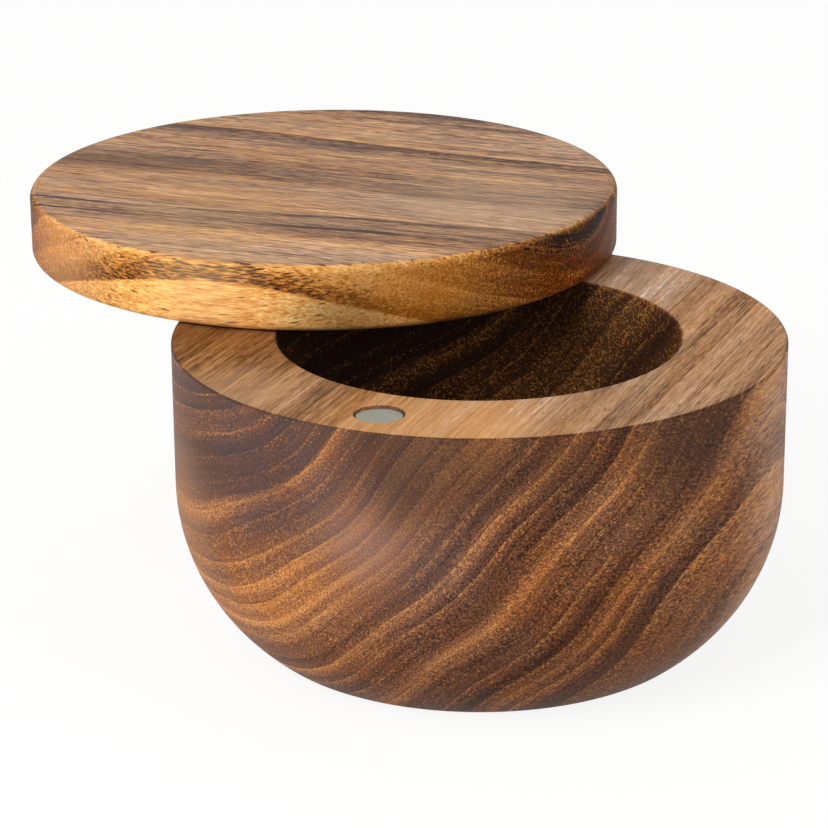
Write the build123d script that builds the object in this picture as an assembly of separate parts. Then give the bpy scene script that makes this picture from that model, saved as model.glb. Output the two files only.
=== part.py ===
from build123d import *
from math import acos, degrees, radians, sin
import os

# Salt keeper: a turned acacia bowl with a flat disc lid, which swivels on a hidden upright pin
# and is caught shut by a pair of disc magnets.
#
# Frame: millimetres, +Z up. The origin is on the bowl's turning axis, in the plane it stands on.
# The pivot pin is at the back (+Y) and the catch magnets are at the front (-Y).
# The lid is posed swung open to the left (-X), as it is when the keeper is in use.

# ------------------------------------------------------------------ driving dimensions

# Bowl: an upright wall, closed in below by a belly of one large arc that ends at a flat foot
bowl_radius = 52.2
bowl_height = 53.3
belly_radius = 35.0            # radius of the belly's arc, in section
foot_radius = 37.8             # where the arc would meet the resting plane
foot_edge_radius = 3.3         # softening of that corner
rim_width = 17.9               # flat top of the wall, from the outside in to the cavity
rim_edge_break = 0.4           # bevel on the rim's edges, outside and inside

# Cavity: an upright bore with a rounded bottom corner
floor_thickness = 11.3
cavity_corner_radius = 10.0

# Lid: a flat disc that stands a little proud of the bowl all round when it is shut
lid_overhang = 1.8
lid_thickness = 11.8
lid_edge_radius = 1.4
lid_gap = 0.3                  # hairline over the rim, which the pin's length sets
lid_open_angle = 81.2          # swing from shut, clockwise seen from above

# Pivot pin: a steel dowel, glued into the lid, that stands and turns in a blind hole in the rim
pin_diameter = 5.0
pin_length = 24.0
pin_bevel = 0.5
pin_inset = 5.9                # from the bowl's outside to the pin's axis
pin_socket_depth = 8.0         # in the lid
pin_running_clearance = 0.05   # all round, between the pin and the rim's hole
pin_glue_line = 0.03           # all round, between the pin and the lid's socket

# Catch magnets: nickel-plated discs, glued into a pocket in the rim and one in the lid
magnet_diameter = 8.0
magnet_thickness = 3.0
magnet_bevel = 0.25
magnet_inset = 8.4             # from the bowl's outside to the magnets' axis, with the lid shut
magnet_recess = 0.4            # how far each lies below the face around it
magnet_glue_line = 0.1         # all round, between a magnet and its pocket

# ------------------------------------------------------------------ sizes that follow

cavity_radius = bowl_radius - rim_width
belly_centre = bowl_radius - belly_radius
belly_sweep = degrees(acos((foot_radius - belly_centre) / belly_radius))
belly_height = belly_radius * sin(radians(belly_sweep))

lid_radius = bowl_radius + lid_overhang
lid_underside = bowl_height + lid_gap

pin_radius = pin_diameter / 2
pin_y = bowl_radius - pin_inset
pin_top = lid_underside + pin_socket_depth
pin_bottom = pin_top - pin_length

magnet_radius = magnet_diameter / 2
magnet_y = magnet_inset - bowl_radius
pocket_radius = magnet_radius + magnet_glue_line
pocket_depth = magnet_thickness + magnet_recess

# Everything on the lid is drawn with the lid shut, and is then swung round the pin's axis.
swing = Pos(0, pin_y, 0) * Rot(0, 0, -lid_open_angle) * Pos(0, -pin_y, 0)

hanging = (Align.CENTER, Align.CENTER, Align.MAX)      # a cylinder placed by its top face
standing = (Align.CENTER, Align.CENTER, Align.MIN)     # a cylinder placed by its bottom face


# ------------------------------------------------------------------ pieces


def make_bowl():
    """Revolve the outside's section and bore the cavity into it, then sink the pin's hole and the
    magnet's pocket into the rim."""
    with BuildPart() as bowl:
        with BuildSketch(Plane.XZ) as outside:
            with BuildLine():
                belly = CenterArc((belly_centre, belly_height), belly_radius,
                                  -belly_sweep, belly_sweep)
                wall = Line(belly @ 1, (bowl_radius, bowl_height))
                Polyline(wall @ 1, (0, bowl_height), (0, 0), belly @ 0)
            make_face()
            foot_corner = outside.vertices().group_by(Axis.Y)[0].sort_by(Axis.X)[-1]
            fillet(foot_corner, foot_edge_radius)
        revolve(axis=Axis.Z)

        with Locations((0, 0, floor_thickness)):
            Cylinder(cavity_radius, bowl_height - floor_thickness,
                     align=standing, mode=Mode.SUBTRACT)
        cavity_corner = bowl.edges(Select.LAST).group_by(Axis.Z)[0]
        fillet(cavity_corner, cavity_corner_radius)
        rim_edges = bowl.edges().group_by(Axis.Z)[-1]
        chamfer(rim_edges, rim_edge_break)

        with Locations((0, pin_y, pin_bottom)):
            Cylinder(pin_radius + pin_running_clearance, bowl_height - pin_bottom,
                     align=standing, mode=Mode.SUBTRACT)
        with Locations((0, magnet_y, bowl_height)):
            Cylinder(pocket_radius, pocket_depth, align=hanging, mode=Mode.SUBTRACT)
    return bowl.part


def make_lid():
    """Round the edges of a disc, then bore the pin's socket and the magnet's pocket in its
    underside."""
    with BuildPart() as lid:
        with Locations((0, 0, lid_underside)):
            disc = Cylinder(lid_radius, lid_thickness, align=standing)
        fillet(disc.edges().filter_by(GeomType.CIRCLE), lid_edge_radius)
        with Locations((0, pin_y, lid_underside)):
            Cylinder(pin_radius + pin_glue_line, pin_socket_depth,
                     align=standing, mode=Mode.SUBTRACT)
        with Locations((0, magnet_y, lid_underside)):
            Cylinder(pocket_radius, pocket_depth, align=standing, mode=Mode.SUBTRACT)
    return swing * lid.part


def make_pivot_pin():
    """A plain dowel from the bottom of the rim's hole to the top of the lid's socket."""
    with BuildPart() as pin:
        with Locations((0, pin_y, pin_top)):
            Cylinder(pin_radius, pin_length, align=hanging)
        chamfer(pin.edges().filter_by(GeomType.CIRCLE), pin_bevel)
    return swing * pin.part


def make_magnet(bottom):
    """One catch magnet, lying with its lower face at the given height."""
    with BuildPart() as magnet:
        with Locations((0, magnet_y, bottom)):
            Cylinder(magnet_radius, magnet_thickness, align=standing)
        chamfer(magnet.edges().filter_by(GeomType.CIRCLE), magnet_bevel)
    return magnet.part


parts = {
    "bowl": make_bowl(),
    "rim_magnet": make_magnet(bowl_height - pocket_depth),
    "lid": make_lid(),
    "lid_magnet": swing * make_magnet(lid_underside + magnet_recess),
    "pivot_pin": make_pivot_pin(),
}

os.makedirs("parts", exist_ok=True)
for name, piece in parts.items():
    export_step(piece, f"parts/{name}.step")
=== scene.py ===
"""Salt keeper: a turned acacia bowl, a swivel lid of the same wood and a magnet catch.

Sizes are millimetres until a mesh is made, and the frame is the part's own: +Z up, the pivot at
+Y, the catch at -Y, and the lid swung open to -X. Each piece of wood has a board frame too, in
which the fibre runs along +Y: the bowl's is the part's frame, and the lid's is the part's frame
with the lid shut, measured up from its underside.
"""

import logging
from dataclasses import dataclass, field, replace
from enum import Enum
from functools import partial
from math import cos, pi, radians, sin

import bpy
import numpy as np
from mathutils import Matrix, Vector


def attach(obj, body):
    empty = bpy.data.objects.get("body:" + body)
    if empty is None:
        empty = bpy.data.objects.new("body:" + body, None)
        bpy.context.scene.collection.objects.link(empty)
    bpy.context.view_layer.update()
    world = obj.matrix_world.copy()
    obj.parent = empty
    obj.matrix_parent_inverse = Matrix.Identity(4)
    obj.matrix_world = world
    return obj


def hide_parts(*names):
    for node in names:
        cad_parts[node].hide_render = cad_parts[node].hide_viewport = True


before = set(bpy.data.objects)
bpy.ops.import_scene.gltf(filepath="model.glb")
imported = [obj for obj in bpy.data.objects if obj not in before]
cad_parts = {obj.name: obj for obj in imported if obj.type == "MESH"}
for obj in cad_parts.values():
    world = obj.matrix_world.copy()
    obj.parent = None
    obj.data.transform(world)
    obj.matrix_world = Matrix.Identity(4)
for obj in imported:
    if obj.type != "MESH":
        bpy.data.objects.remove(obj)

logging.basicConfig(level=logging.INFO, format="%(message)s")
log = logging.getLogger("salt_keeper")

MM = 0.001  # metres in a millimetre
Node = bpy.types.Node
Stops = tuple[tuple[float, str], ...]
Pair = tuple[float, float]
Triple = tuple[float, float, float]

# Blender's names for the nodes used here more than once
MATH = "ShaderNodeMath"
VECTOR = "ShaderNodeVectorMath"
NOISE = "ShaderNodeTexNoise"
RANGE = "ShaderNodeMapRange"  # takes a value, the range it comes from and the range it goes to
MIX = "ShaderNodeMix"
MAPPING = "ShaderNodeMapping"  # takes a place, a shift, a turn and a scale
RAMP = "ShaderNodeValToRGB"
SPLIT = "ShaderNodeSeparateXYZ"
JOIN = "ShaderNodeCombineXYZ"
COORDINATES = "ShaderNodeTexCoord"
ATTRIBUTE = "ShaderNodeAttribute"
BUMP = "ShaderNodeBump"
PRINCIPLED = "ShaderNodeBsdfPrincipled"
SURFACE = "ShaderNodeOutputMaterial"


def linear(hex_colour: str) -> tuple[float, float, float, float]:
    """Turn an sRGB hex colour into the linear colour that a shader works in.

    Args:
        hex_colour: six hex digits after a hash.

    Returns:
        Linear red, green and blue, and an alpha of 1.
    """
    values = [int(hex_colour[i:i + 2], 16) / 255 for i in (1, 3, 5)]
    red, green, blue = (
        v / 12.92 if v <= 0.04045 else ((v + 0.055) / 1.055) ** 2.4 for v in values
    )
    return red, green, blue, 1.0


def grey_hex(value: float) -> str:
    """The sRGB grey of a linear value."""
    coded = 12.92 * value if value <= 0.0031308 else 1.055 * value ** (1 / 2.4) - 0.055
    return "#" + f"{round(coded * 255):02x}" * 3


def add_node(
    tree: bpy.types.NodeTree,
    kind: str,
    *inputs: object,
    named: dict[str, object] | None = None,
    stops: Stops = (),
    **settings: object,
) -> Node:
    """Add one node to a tree, set its properties and fill its sockets.

    Args:
        tree: the material's or the world's nodes.
        kind: Blender's name for the node.
        inputs: for the inputs that its settings leave live, in order, a value, a socket, or a
            node whose first live output feeds it.
        named: the same for inputs by their names.
        stops: for a colour ramp, its places and hex colours.
        settings: the node's own properties.

    Returns:
        The new node.
    """
    node = tree.nodes.new(kind)
    for name, value in settings.items():
        setattr(node, name, value)
    feeds = list(zip([socket for socket in node.inputs if socket.enabled], inputs))
    feeds += [(node.inputs[name], value) for name, value in (named or {}).items()]
    for socket, value in feeds:
        if isinstance(value, bpy.types.Node):
            value = next(output for output in value.outputs if output.enabled)
        if isinstance(value, bpy.types.NodeSocket):
            tree.links.new(value, socket)
        else:
            socket.default_value = value
    if stops:
        ramp = node.color_ramp.elements
        while len(ramp) < len(stops):
            ramp.new(1.0)
        for element, (place, colour) in zip(ramp, stops):
            element.position = place
            element.color = linear(colour)
    return node


def blank_material(name: str) -> bpy.types.Material:
    """A new material with no nodes in it."""
    made = bpy.data.materials.new(name)
    made.use_nodes = True
    made.node_tree.nodes.clear()
    return made


# ------------------------------------------------------------------ surfaces


def arc(centre: Pair, radius: float, start: float, end: float, steps: int) -> np.ndarray:
    """Points on a circular arc in the section plane: centre + radius (cos a, sin a).

    Args:
        centre: distance from the turning axis, and height.
        radius: the arc's radius.
        start: first angle in degrees, from outwards, anticlockwise.
        end: last angle in degrees.
        steps: how many chords the arc has.

    Returns:
        steps + 1 rows of distance and height.
    """
    angle = np.radians(np.linspace(start, end, steps + 1))
    return np.array(centre) + radius * np.column_stack([np.cos(angle), np.sin(angle)])


def run(start: Pair, end: Pair, steps: int) -> np.ndarray:
    """Points evenly along a straight line in the section plane, start + t (end - start), without
    its two ends.

    Args:
        start: distance from the turning axis, and height.
        end: the same for the other end.
        steps: how many chords the line has.

    Returns:
        steps - 1 rows of distance and height.
    """
    share = np.linspace(0, 1, steps + 1)[1:-1, None]
    return np.array(start) * (1 - share) + np.array(end) * share


def moved(points: np.ndarray, placed: Matrix) -> np.ndarray:
    """Rows of three numbers, turned, scaled and shifted by a matrix."""
    matrix = np.array(placed)
    return points @ matrix[:3, :3].T + matrix[:3, 3]


def rows_of_three(items: bpy.types.bpy_prop_collection, name: str, kind: type) -> np.ndarray:
    """Read a field of three numbers from every item of a mesh.

    Args:
        items: the mesh's points, normals or triangles.
        name: the field.
        kind: numpy's type for its numbers.

    Returns:
        One row an item.
    """
    values = np.zeros(len(items) * 3, kind)
    items.foreach_get(name, values)
    return values.reshape(-1, 3)


class Way(Enum):
    """The way that a hole goes in from its face."""

    UP = 1
    DOWN = -1


@dataclass(frozen=True)
class Bore:
    """A blind hole sunk upright into a flat face, with its axis at x = 0.

    It is a profile of (radius, depth) carried round the hole's own axis. The window that it has
    in the face lies between two distances from the turning axis, and within half an angle of the
    hole, in degrees, on each side.
    """

    y: float
    radius: float
    depth: float
    face: float
    way: Way
    span: Pair
    half_angle: float
    edge_break: float = 0.15
    steps: int = 4
    floor_shares: tuple[float, ...] = (0.66, 0.33)

    def profile(self) -> np.ndarray:
        """The hole's section, over its broken edge, down its wall and in over its floor.

        Returns:
            Rows of radius and depth, short of the floor's centre.
        """
        edge, steps = self.edge_break, self.steps
        turn = np.radians(np.linspace(90, 0, steps + 1))
        lip = np.column_stack([
            self.radius + edge - edge * np.cos(turn),
            edge - edge * np.sin(turn),
        ])
        down = np.linspace(edge, self.depth, steps + 1)[1:]
        wall = np.column_stack([np.full(steps, self.radius), down])
        inwards = self.radius * np.array(self.floor_shares)
        floor = np.column_stack([inwards, np.full(len(inwards), self.depth)])
        return np.vstack([lip, wall, floor])


def bands(numbers: np.ndarray) -> np.ndarray:
    """Quads between each closed ring of point numbers and the next, one ring to a row."""
    after = np.roll(numbers, -1, axis=1)
    return np.stack([numbers[:-1], after[:-1], after[1:], numbers[1:]], axis=-1).reshape(-1, 4)


@dataclass
class TurnedSolid:
    """A closed solid of revolution, with blind holes bored into its flat faces.

    The surface is the grid of x = r cos a, y = r sin a, z = h, for every point (r, h) of the
    profile and every angle a. The profile starts and ends on the axis, where the grid closes in
    one point.
    """

    profile: np.ndarray
    around: int = 480
    window_steps: int = 6
    smooth_below: float = 50.0
    points: list[np.ndarray] = field(init=False)
    faces: list[list[int]] = field(default_factory=list, init=False)
    kept: np.ndarray = field(init=False)
    count: int = field(init=False)

    def __post_init__(self) -> None:
        """Lay out the grid, rows along the profile and columns round the axis."""
        angle = 2 * pi * np.arange(self.around) / self.around
        radius, height = self.profile[1:-1].T
        grid = np.stack(
            [
                np.outer(radius, np.cos(angle)),
                np.outer(radius, np.sin(angle)),
                np.repeat(height[:, None], self.around, axis=1),
            ],
            axis=-1,
        )
        poles = np.array([[0, 0, self.profile[0, 1]], [0, 0, self.profile[-1, 1]]])
        self.points = [poles, grid.reshape(-1, 3)]
        self.count = len(poles) + grid.shape[0] * self.around
        self.kept = np.ones((grid.shape[0] - 1, self.around), bool)

    def index(self, row: np.ndarray | int, column: np.ndarray | int) -> np.ndarray:
        """Number of the grid's point at a row and a column, which wraps round."""
        return 2 + np.asarray(row) * self.around + np.asarray(column) % self.around

    def window(self, hole: Bore) -> tuple[int, int]:
        """Find the grid rows in the hole's face that lie within its span.

        Args:
            hole: the hole.

        Returns:
            The first row and the last.
        """
        distance, height = self.profile[1:-1].T
        within = (distance >= hole.span[0]) & (distance <= hole.span[1])
        rows = np.nonzero(np.isclose(height, hole.face) & within)[0]
        return int(rows[0]), int(rows[-1])

    def bore(self, hole: Bore) -> None:
        """Open a window in a flat face and fill it up to a hole.

        Each ring between the window's edge E and the hole's circle C is (1 - s) E + s C, and
        both are matched by their direction from the hole's axis.

        Args:
            hole: the hole, in a flat face of this solid.
        """
        step = 360 / self.around
        middle = np.degrees(np.arctan2(hole.y, 0)) / step
        first = int(np.floor(middle - hole.half_angle / step))
        last = int(np.ceil(middle + hole.half_angle / step))
        low, high = self.window(hole)
        columns, lines = np.arange(first, last), np.arange(low, high)
        self.kept[low:high, columns % self.around] = False
        loop = np.concatenate([
            self.index(low, columns),
            self.index(lines, last),
            self.index(high, columns[::-1] + 1),
            self.index(lines[::-1] + 1, first),
        ])
        edge = np.vstack(self.points)[loop]
        axis = np.array([0, hole.y])
        away = edge[:, :2] - axis
        direction = away / np.linalg.norm(away, axis=1, keepdims=True)
        profile = hole.profile()
        rim = axis + direction * profile[0, 0]
        share = np.linspace(0, 1, self.window_steps + 1)[1:-1, None, None]
        flat = edge[None, :, :2] * (1 - share) + rim[None] * share
        sunk = axis + direction[None] * profile[:, 0, None, None]
        plan = np.concatenate([flat, sunk])
        depth = np.concatenate([np.zeros(len(flat)), profile[:, 1]])
        height = edge[0, 2] + hole.way.value * depth
        rings = np.concatenate(
            [plan, np.broadcast_to(height[:, None, None], plan.shape[:2] + (1,))], axis=-1
        )
        inner = self.count + np.arange(rings.shape[0] * len(loop)).reshape(-1, len(loop))
        numbers = np.vstack([loop, inner])
        centre = inner[-1, -1] + 1
        self.points += [rings.reshape(-1, 3), np.array([[*axis, height[-1]]])]
        self.count = int(centre) + 1
        last_ring = numbers[-1]
        fan = np.stack([last_ring, np.roll(last_ring, -1), np.full_like(loop, centre)], axis=-1)
        self.faces += bands(numbers).tolist() + fan.tolist()

    def mesh(self, name: str, placed: Matrix) -> bpy.types.Mesh:
        """Join the grid, its two caps and its holes into one mesh.

        Args:
            name: the mesh's name.
            placed: millimetres of the drawing to metres of the frame.

        Returns:
            A closed mesh whose faces point outwards.
        """
        rows, columns = np.nonzero(self.kept)
        quads = np.stack(
            [
                self.index(rows, columns),
                self.index(rows, columns + 1),
                self.index(rows + 1, columns + 1),
                self.index(rows + 1, columns),
            ],
            axis=-1,
        )
        ring = np.arange(self.around)
        end = len(self.profile) - 3
        first = np.stack([np.zeros_like(ring), self.index(0, ring + 1), self.index(0, ring)], -1)
        last = np.stack([np.ones_like(ring), self.index(end, ring), self.index(end, ring + 1)], -1)
        faces = quads.tolist() + first.tolist() + last.tolist() + self.faces
        mesh = bpy.data.meshes.new(name)
        mesh.from_pydata(moved(np.vstack(self.points), placed).tolist(), [], faces)
        if mesh_volume(mesh) < 0:
            mesh.flip_normals()
        mesh.shade_smooth()
        mesh.set_sharp_from_angle(angle=radians(self.smooth_below))
        mesh.validate()
        return mesh


def mesh_volume(mesh: bpy.types.Mesh) -> float:
    """Signed volume: a sixth of the sum of a . (b x c) over the mesh's triangles.

    Args:
        mesh: a closed mesh.

    Returns:
        The volume, below 0 where its faces point inwards.
    """
    mesh.calc_loop_triangles()
    corners = rows_of_three(mesh.loop_triangles, "vertices", np.int32)
    points = rows_of_three(mesh.vertices, "co", np.float32)
    a, b, c = points[corners].transpose(1, 0, 2).astype(float)
    return float((a * np.cross(b, c)).sum() / 6)


def mark_facing(mesh: bpy.types.Mesh, board: Matrix) -> None:
    """Keep each point's normal in the board's frame, so that a finish can tell end grain (Y) from
    side grain (X) and face grain (Z).

    Args:
        mesh: a finished mesh.
        board: the turn from the part's frame to the board's.
    """
    normals = rows_of_three(mesh.vertex_normals, "vector", np.float32)
    turned = normals @ np.array(board.to_3x3()).T
    facing = mesh.attributes.new("facing", "FLOAT_VECTOR", "POINT")
    facing.data.foreach_set("vector", turned.astype(np.float32).ravel())


def mark_wear_and_shade(
    mesh: bpy.types.Mesh, board: Matrix, arrises: tuple[Pair, ...], width: float,
    inside: Pair = (0.0, 0.0),
) -> None:
    """Keep how dark each point is made: exp(-(d / width)^2) for wear, where d is the distance to
    the nearest turned arris in the section plane, or 1 in a cavity, for painted shade.

    Args:
        mesh: a finished mesh, in metres.
        board: the turn from the part's frame to the board's, in millimetres.
        arrises: distance from the turning axis and height of each.
        width: millimetres.
        inside: radius that the cavity lies within, and height that it lies above.
    """
    points = moved(rows_of_three(mesh.vertices, "co", np.float32) / MM, board)
    section = np.column_stack([np.hypot(points[:, 0], points[:, 1]), points[:, 2]])
    away = np.linalg.norm(section[:, None] - np.array(arrises)[None], axis=2).min(axis=1)
    # Painted shade: the whole cavity is marked as dark as it goes
    hollow = (section[:, 0] < inside[0]) & (section[:, 1] > inside[1])
    worn = np.maximum(np.exp(-(away / width) ** 2), hollow)
    kept = mesh.attributes.new("worn", "FLOAT", "POINT")
    kept.data.foreach_set("value", worn.astype(np.float32))


# ------------------------------------------------------------------ acacia

# Tones run from 0, the darkest late wood, to 1, the brightest early wood, and a little past both
INKY, GLEAMING = -0.3, 1.3
# A ramp holds no tone below 0, so the rings' tones are kept in it as greys
GREY_PER_TONE, GREY_AT_ZERO = 0.5, 0.4


@dataclass(frozen=True)
class Swell:
    """A slow wave in the growth rings: height x sin(2 pi d / length + phase), where d is the
    distance along a unit vector of the board's frame."""

    height: float
    length: float
    along: Triple
    phase: float

    def wave_vector(self) -> tuple[float, ...]:
        """Radians of phase per millimetre along each axis."""
        return tuple(2 * pi / self.length * part for part in self.along)


@dataclass(frozen=True)
class Trunk:
    """How the tree's growth rings run through a board.

    Growth is the distance in millimetres from the pith, with the rings oval, turned and waved:
    the length of (oval x across, up), plus the swells and a waver. The pith's place and the waver
    are in millimetres, and tilt and drift turn the board about the fibre and about the upright, in
    degrees.
    """

    pith_x: float
    pith_z: float
    oval: float
    tilt: float
    drift: float
    waver: float
    swells: tuple[Swell, ...]


@dataclass(frozen=True)
class Ring:
    """One year's growth, from where its first vessels make a bright line to its dark late wood.

    The tone falls from early at the start to body at a share of the ring, and on to late at a
    rise before the next.
    """

    start: float
    early: float
    body: float
    late: float
    rise: float = 1.0
    share: float = 0.35


def ring_stops(rings: tuple[Ring, ...]) -> Stops:
    """Places and greys of the rings along the growth, from the first one's start to the last's.

    Args:
        rings: the rings, in order.

    Returns:
        Three stops a ring, its bright start, its body and its late wood. A ring whose body has
        no share has no stop for it.
    """
    stops: list[Pair] = []
    for ring, after in zip(rings, rings[1:]):
        stops.append((ring.start, ring.early))
        if ring.share:
            stops.append((ring.start + ring.share * (after.start - ring.start), ring.body))
        stops.append((after.start - ring.rise, ring.late))
    low, high = rings[0].start, rings[-1].start
    return tuple(((place - low) / (high - low), grey_hex(tone * GREY_PER_TONE + GREY_AT_ZERO))
                 for place, tone in stops)


@dataclass(frozen=True)
class Tones:
    """Colours on one kind of face: the ink of the darkest streaks, late, body and early wood, and
    the gleam of the brightest specks."""

    ink: str
    late: str
    body: str
    early: str
    gleam: str

    def stops(self) -> Stops:
        """The five as a ramp from the inky tone to the gleaming one, which puts late wood at a
        tone of 0, body at 0.45 and early wood at 1."""
        colours = self.ink, self.late, self.body, self.early, self.gleam
        return tuple(zip((0.0, 0.19, 0.47, 0.81, 1.0), colours))


@dataclass(frozen=True)
class Mark:
    """What a tube leaves on a face: its colour, its reach as a share of the tubes' spacing, and
    the shares of tubes that show it where they are sparse, where they crowd, and in addition on a
    flat top."""

    paint: str
    reach: float
    sparse: float
    crowded: float
    more_on_top: float = 0.0


@dataclass(frozen=True)
class Vessels:
    """The wood's tubes, which run along the fibre: a light sheath round a dark pore.

    Spacing is in millimetres: real tubes stand 0.3 to 0.5 mm apart, which just shows. The stretch
    is how much longer than wide their dashes are. Sheaths crowd at a false ring's start, and open
    pores in late wood.
    """

    spacing: float
    stretch: float
    sheath: Mark
    pore: Mark
    on_face: float


class Face(Enum):
    """The faces that a stain or a patch of painted light lies on."""

    UPRIGHT = "upright"
    TOP = "flat top"


@dataclass(frozen=True)
class StainAndLightPatch:
    """A soft patch of colour: some shift the wood's own colour, and some are painted highlights,
    sheen and shade.

    Millimetres in the board's frame: full inside `inner` of the centre, gone at `outer`, and
    `along` times as long along the fibre.
    """

    centre: Triple
    inner: float
    outer: float
    paint: str
    strength: float
    face: Face = Face.UPRIGHT
    along: float = 1.0


@dataclass(frozen=True)
class InkLine:
    """A thin dark line of mineral along one growth: its growth, half width and depth of tone."""

    growth: float
    width: float
    depth: float


@dataclass(frozen=True)
class PaintedSheen:
    """Painted sheen, a grey reflection laid into the colour: its colour, and the growths where it
    is full and where it ends.
    """

    paint: str
    full: float
    gone: float


@dataclass(frozen=True)
class Sapwood:
    """The pale outer wood on one side: where it begins and is full across the board, and how much
    it lifts the tone."""

    begins: float
    full: float
    rise: float


@dataclass(frozen=True)
class AcaciaFinish:
    """Acacia, turned, sanded fine and oiled.

    Each ring starts in a bright line of vessels and parenchyma and darkens to its late wood. End
    grain soaks up the oil, so it is darkest, and shows the vessels as dots; along the fibre the
    same vessels are streaks. Satin, as the oil only fills the grain.

    Turn and shift take the part's frame to the board's. Grain, streaks and crisp are how strongly
    fibres, streaks and false rings show, glitter is how many sheaths show in bright wood, and the
    wear-and-shade darkness is how dark use makes the arrises and how dark the painted shade makes a
    cavity. False rings stand false_ring millimetres apart. End grain starts and is full where the
    fibre's share of a normal is end_from and end_at, and oil has soaked it up to the growth
    soaked_inside.
    """

    name: str
    trunk: Trunk
    rings: tuple[Ring, ...]
    end_grain: Tones
    side_grain: Tones
    face_grain: Tones
    vessels: Vessels
    sapwood: Sapwood
    stains_and_light: tuple[StainAndLightPatch, ...]
    grain: float
    streaks: float
    crisp: float
    glitter: float
    wear_and_shade_darkness: float
    false_ring: float = 4.6
    end_from: float = 0.0
    end_at: float = 0.32
    turn: float = 0.0
    shift: Triple = (0.0, 0.0, 0.0)
    lines: tuple[InkLine, ...] = ()
    # a painted sheen, a grey reflection laid into the colour
    painted_sheen: PaintedSheen | None = None
    soaked_inside: float | None = None

    def material(self) -> bpy.types.Material:
        """Build the finish's nodes.

        Returns:
            The material.
        """
        made = blank_material(self.name)
        AcaciaWood(self, made.node_tree).build()
        return made


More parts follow.
